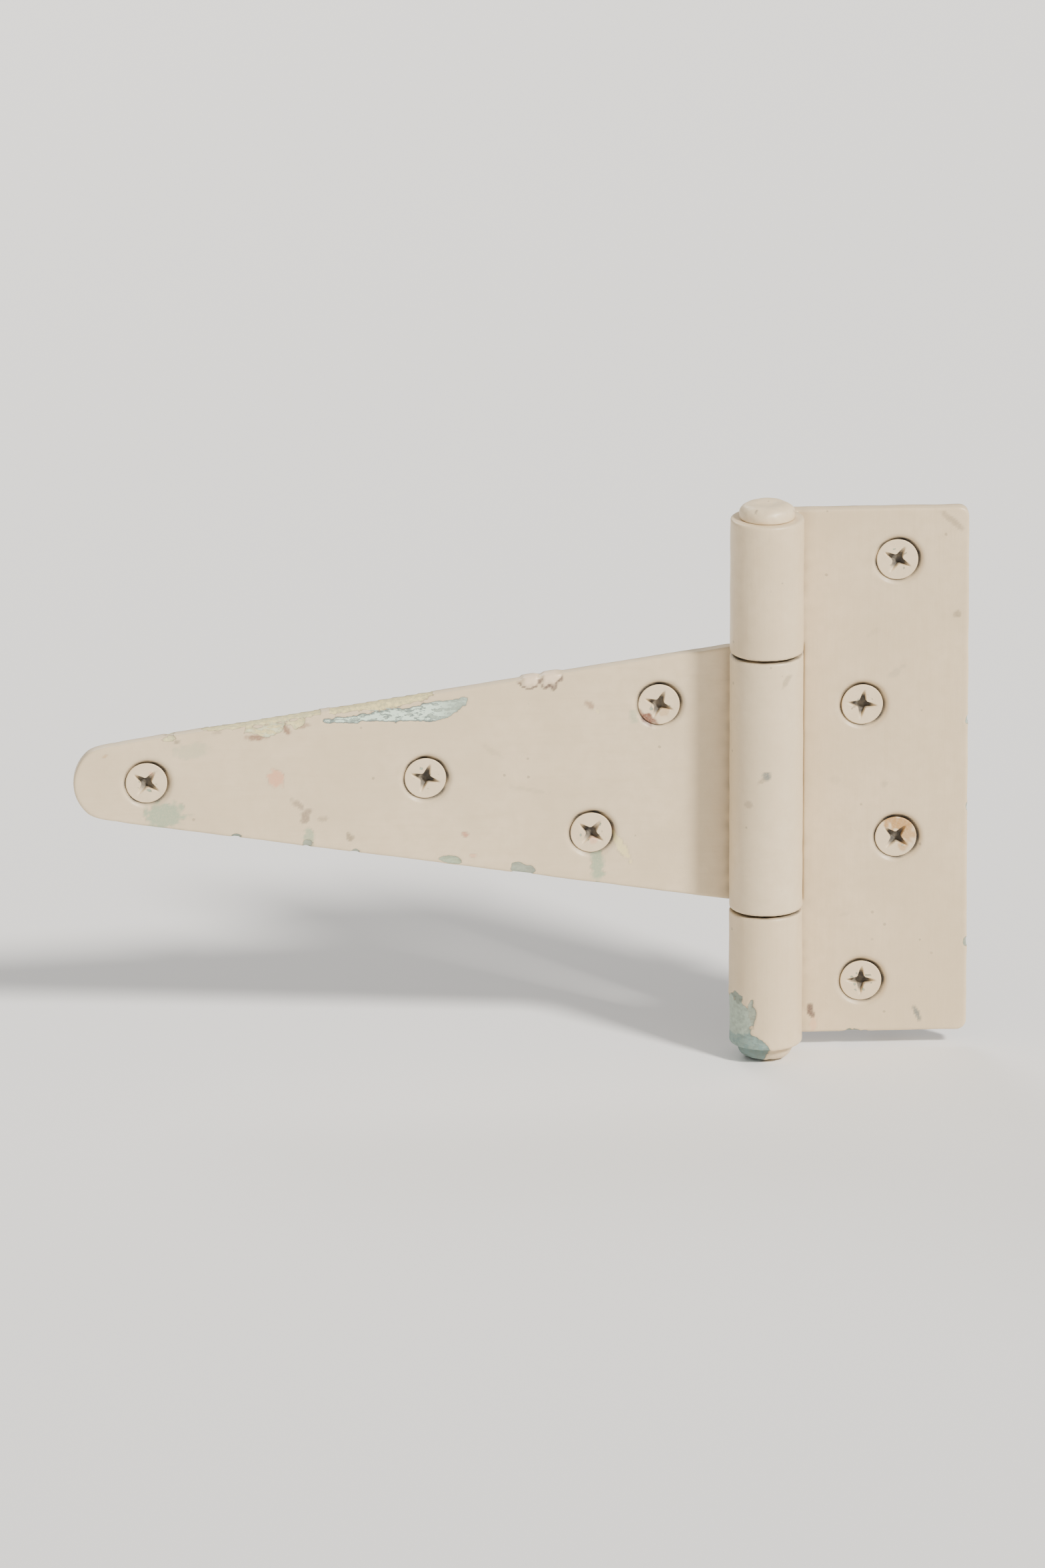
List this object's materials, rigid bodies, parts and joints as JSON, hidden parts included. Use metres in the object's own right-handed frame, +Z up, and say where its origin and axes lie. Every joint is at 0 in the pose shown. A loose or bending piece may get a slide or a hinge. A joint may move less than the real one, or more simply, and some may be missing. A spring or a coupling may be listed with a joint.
{
  "type": "strap hinge",
  "caption": "Painted pressed-steel tee hinge: a tapered strap leaf and a rectangular leaf rolled round a fixed pin, fastened with countersunk cross-recess wood screws.",
  "frame": {"origin": "centre of the rectangular leaf's flat back face, in the mounting plane and at the barrel's mid-height", "axes": "+Z up along the pin; +Y out of the leaves' backs, into the door and its frame; -Y out of the front; -X from the pin towards the strap's tip"},
  "size_m": [0.1973, 0.0385, 0.1276],
  "materials": {
    "frame_paint": "old brushed cream gloss paint, worn satin",
    "strap_paint": "old brushed cream gloss paint, chipped along the edges",
    "pin_steel": "plain steel, painted over where it shows",
    "screw_steel": "zinc plated steel with painted heads"
  },
  "bodies": {
    "frame_side": {"frame_leaf": "frame_paint", "hinge_pin": "pin_steel", "frame_screw_1": "screw_steel", "frame_screw_2": "screw_steel", "frame_screw_3": "screw_steel", "frame_screw_4": "screw_steel"},
    "strap_side": {"strap_leaf": "strap_paint", "strap_screw_1": "screw_steel", "strap_screw_2": "screw_steel", "strap_screw_3": "screw_steel", "strap_screw_4": "screw_steel"}
  },
  "joints": [
    {"name": "hinge_swing", "type": "hinge", "parent": "frame_side", "child": "strap_side", "pos_m": [-0.0268, -0.0081, 0], "axis": [0, 0, 1], "range_deg": [0, 180]}
  ]
}
